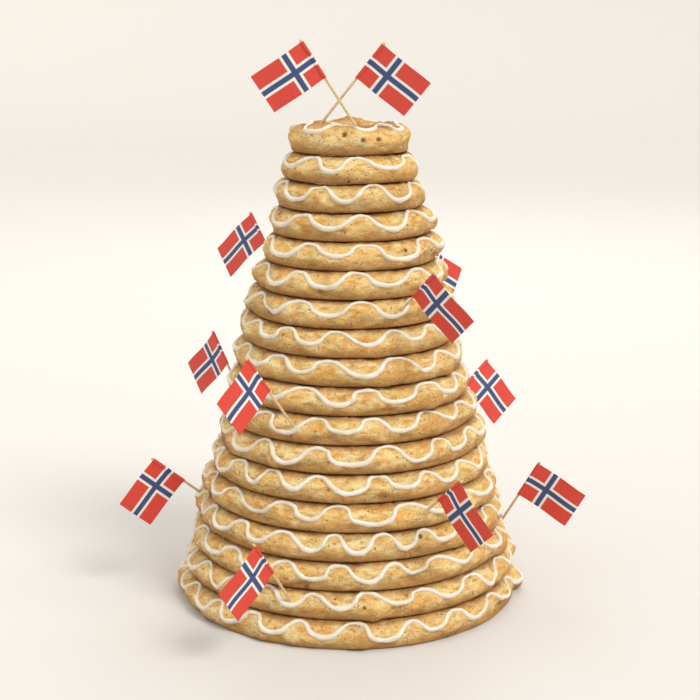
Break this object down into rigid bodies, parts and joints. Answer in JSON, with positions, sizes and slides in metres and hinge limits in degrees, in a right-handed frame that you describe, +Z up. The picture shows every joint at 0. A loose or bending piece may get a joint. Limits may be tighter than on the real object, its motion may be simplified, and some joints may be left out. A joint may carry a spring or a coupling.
{
  "type": "kransekake ring cake",
  "caption": "Festive almond ring cake: a hollow cone of stacked baked rings with wavy piped icing and small paper flags on wooden picks, resting flat on its widest ring.",
  "frame": {"origin": "on the table under the middle of the cake", "axes": "+Z up through the cone of rings, -Y the front, +X the right side seen from the front"},
  "size_m": [0.2925, 0.2774, 0.3456],
  "materials": {
    "baked_dough": null,
    "icing": null,
    "pick_wood": "bare pale birch stick",
    "flag_paper": "printed paper, red with a white-edged blue cross, satin"
  },
  "bodies": {
    "root": {"ring_01": "baked_dough", "ring_02": "baked_dough", "ring_03": "baked_dough", "ring_04": "baked_dough", "ring_05": "baked_dough", "ring_06": "baked_dough", "ring_07": "baked_dough", "ring_08": "baked_dough", "ring_09": "baked_dough", "ring_10": "baked_dough", "ring_11": "baked_dough", "ring_12": "baked_dough", "ring_13": "baked_dough", "ring_14": "baked_dough", "ring_15": "baked_dough", "ring_16": "baked_dough", "ring_17": "baked_dough", "ring_18": "baked_dough", "pick_01": "pick_wood", "pick_02": "pick_wood", "pick_03": "pick_wood", "pick_04": "pick_wood", "pick_05": "pick_wood", "pick_06": "pick_wood", "pick_07": "pick_wood", "pick_08": "pick_wood", "pick_09": "pick_wood", "pick_10": "pick_wood", "pick_11": "pick_wood", "pick_12": "pick_wood", "pick_13": "pick_wood", "pick_14": "pick_wood", "pick_15": "pick_wood", "pick_16": "pick_wood", "flag_01": "flag_paper", "flag_02": "flag_paper", "flag_03": "flag_paper", "flag_04": "flag_paper", "flag_05": "flag_paper", "flag_06": "flag_paper", "flag_07": "flag_paper", "flag_08": "flag_paper", "flag_09": "flag_paper", "flag_10": "flag_paper", "flag_11": "flag_paper", "flag_12": "flag_paper", "flag_13": "flag_paper", "flag_14": "flag_paper", "flag_15": "flag_paper", "flag_16": "flag_paper"}
  },
  "joints": []
}
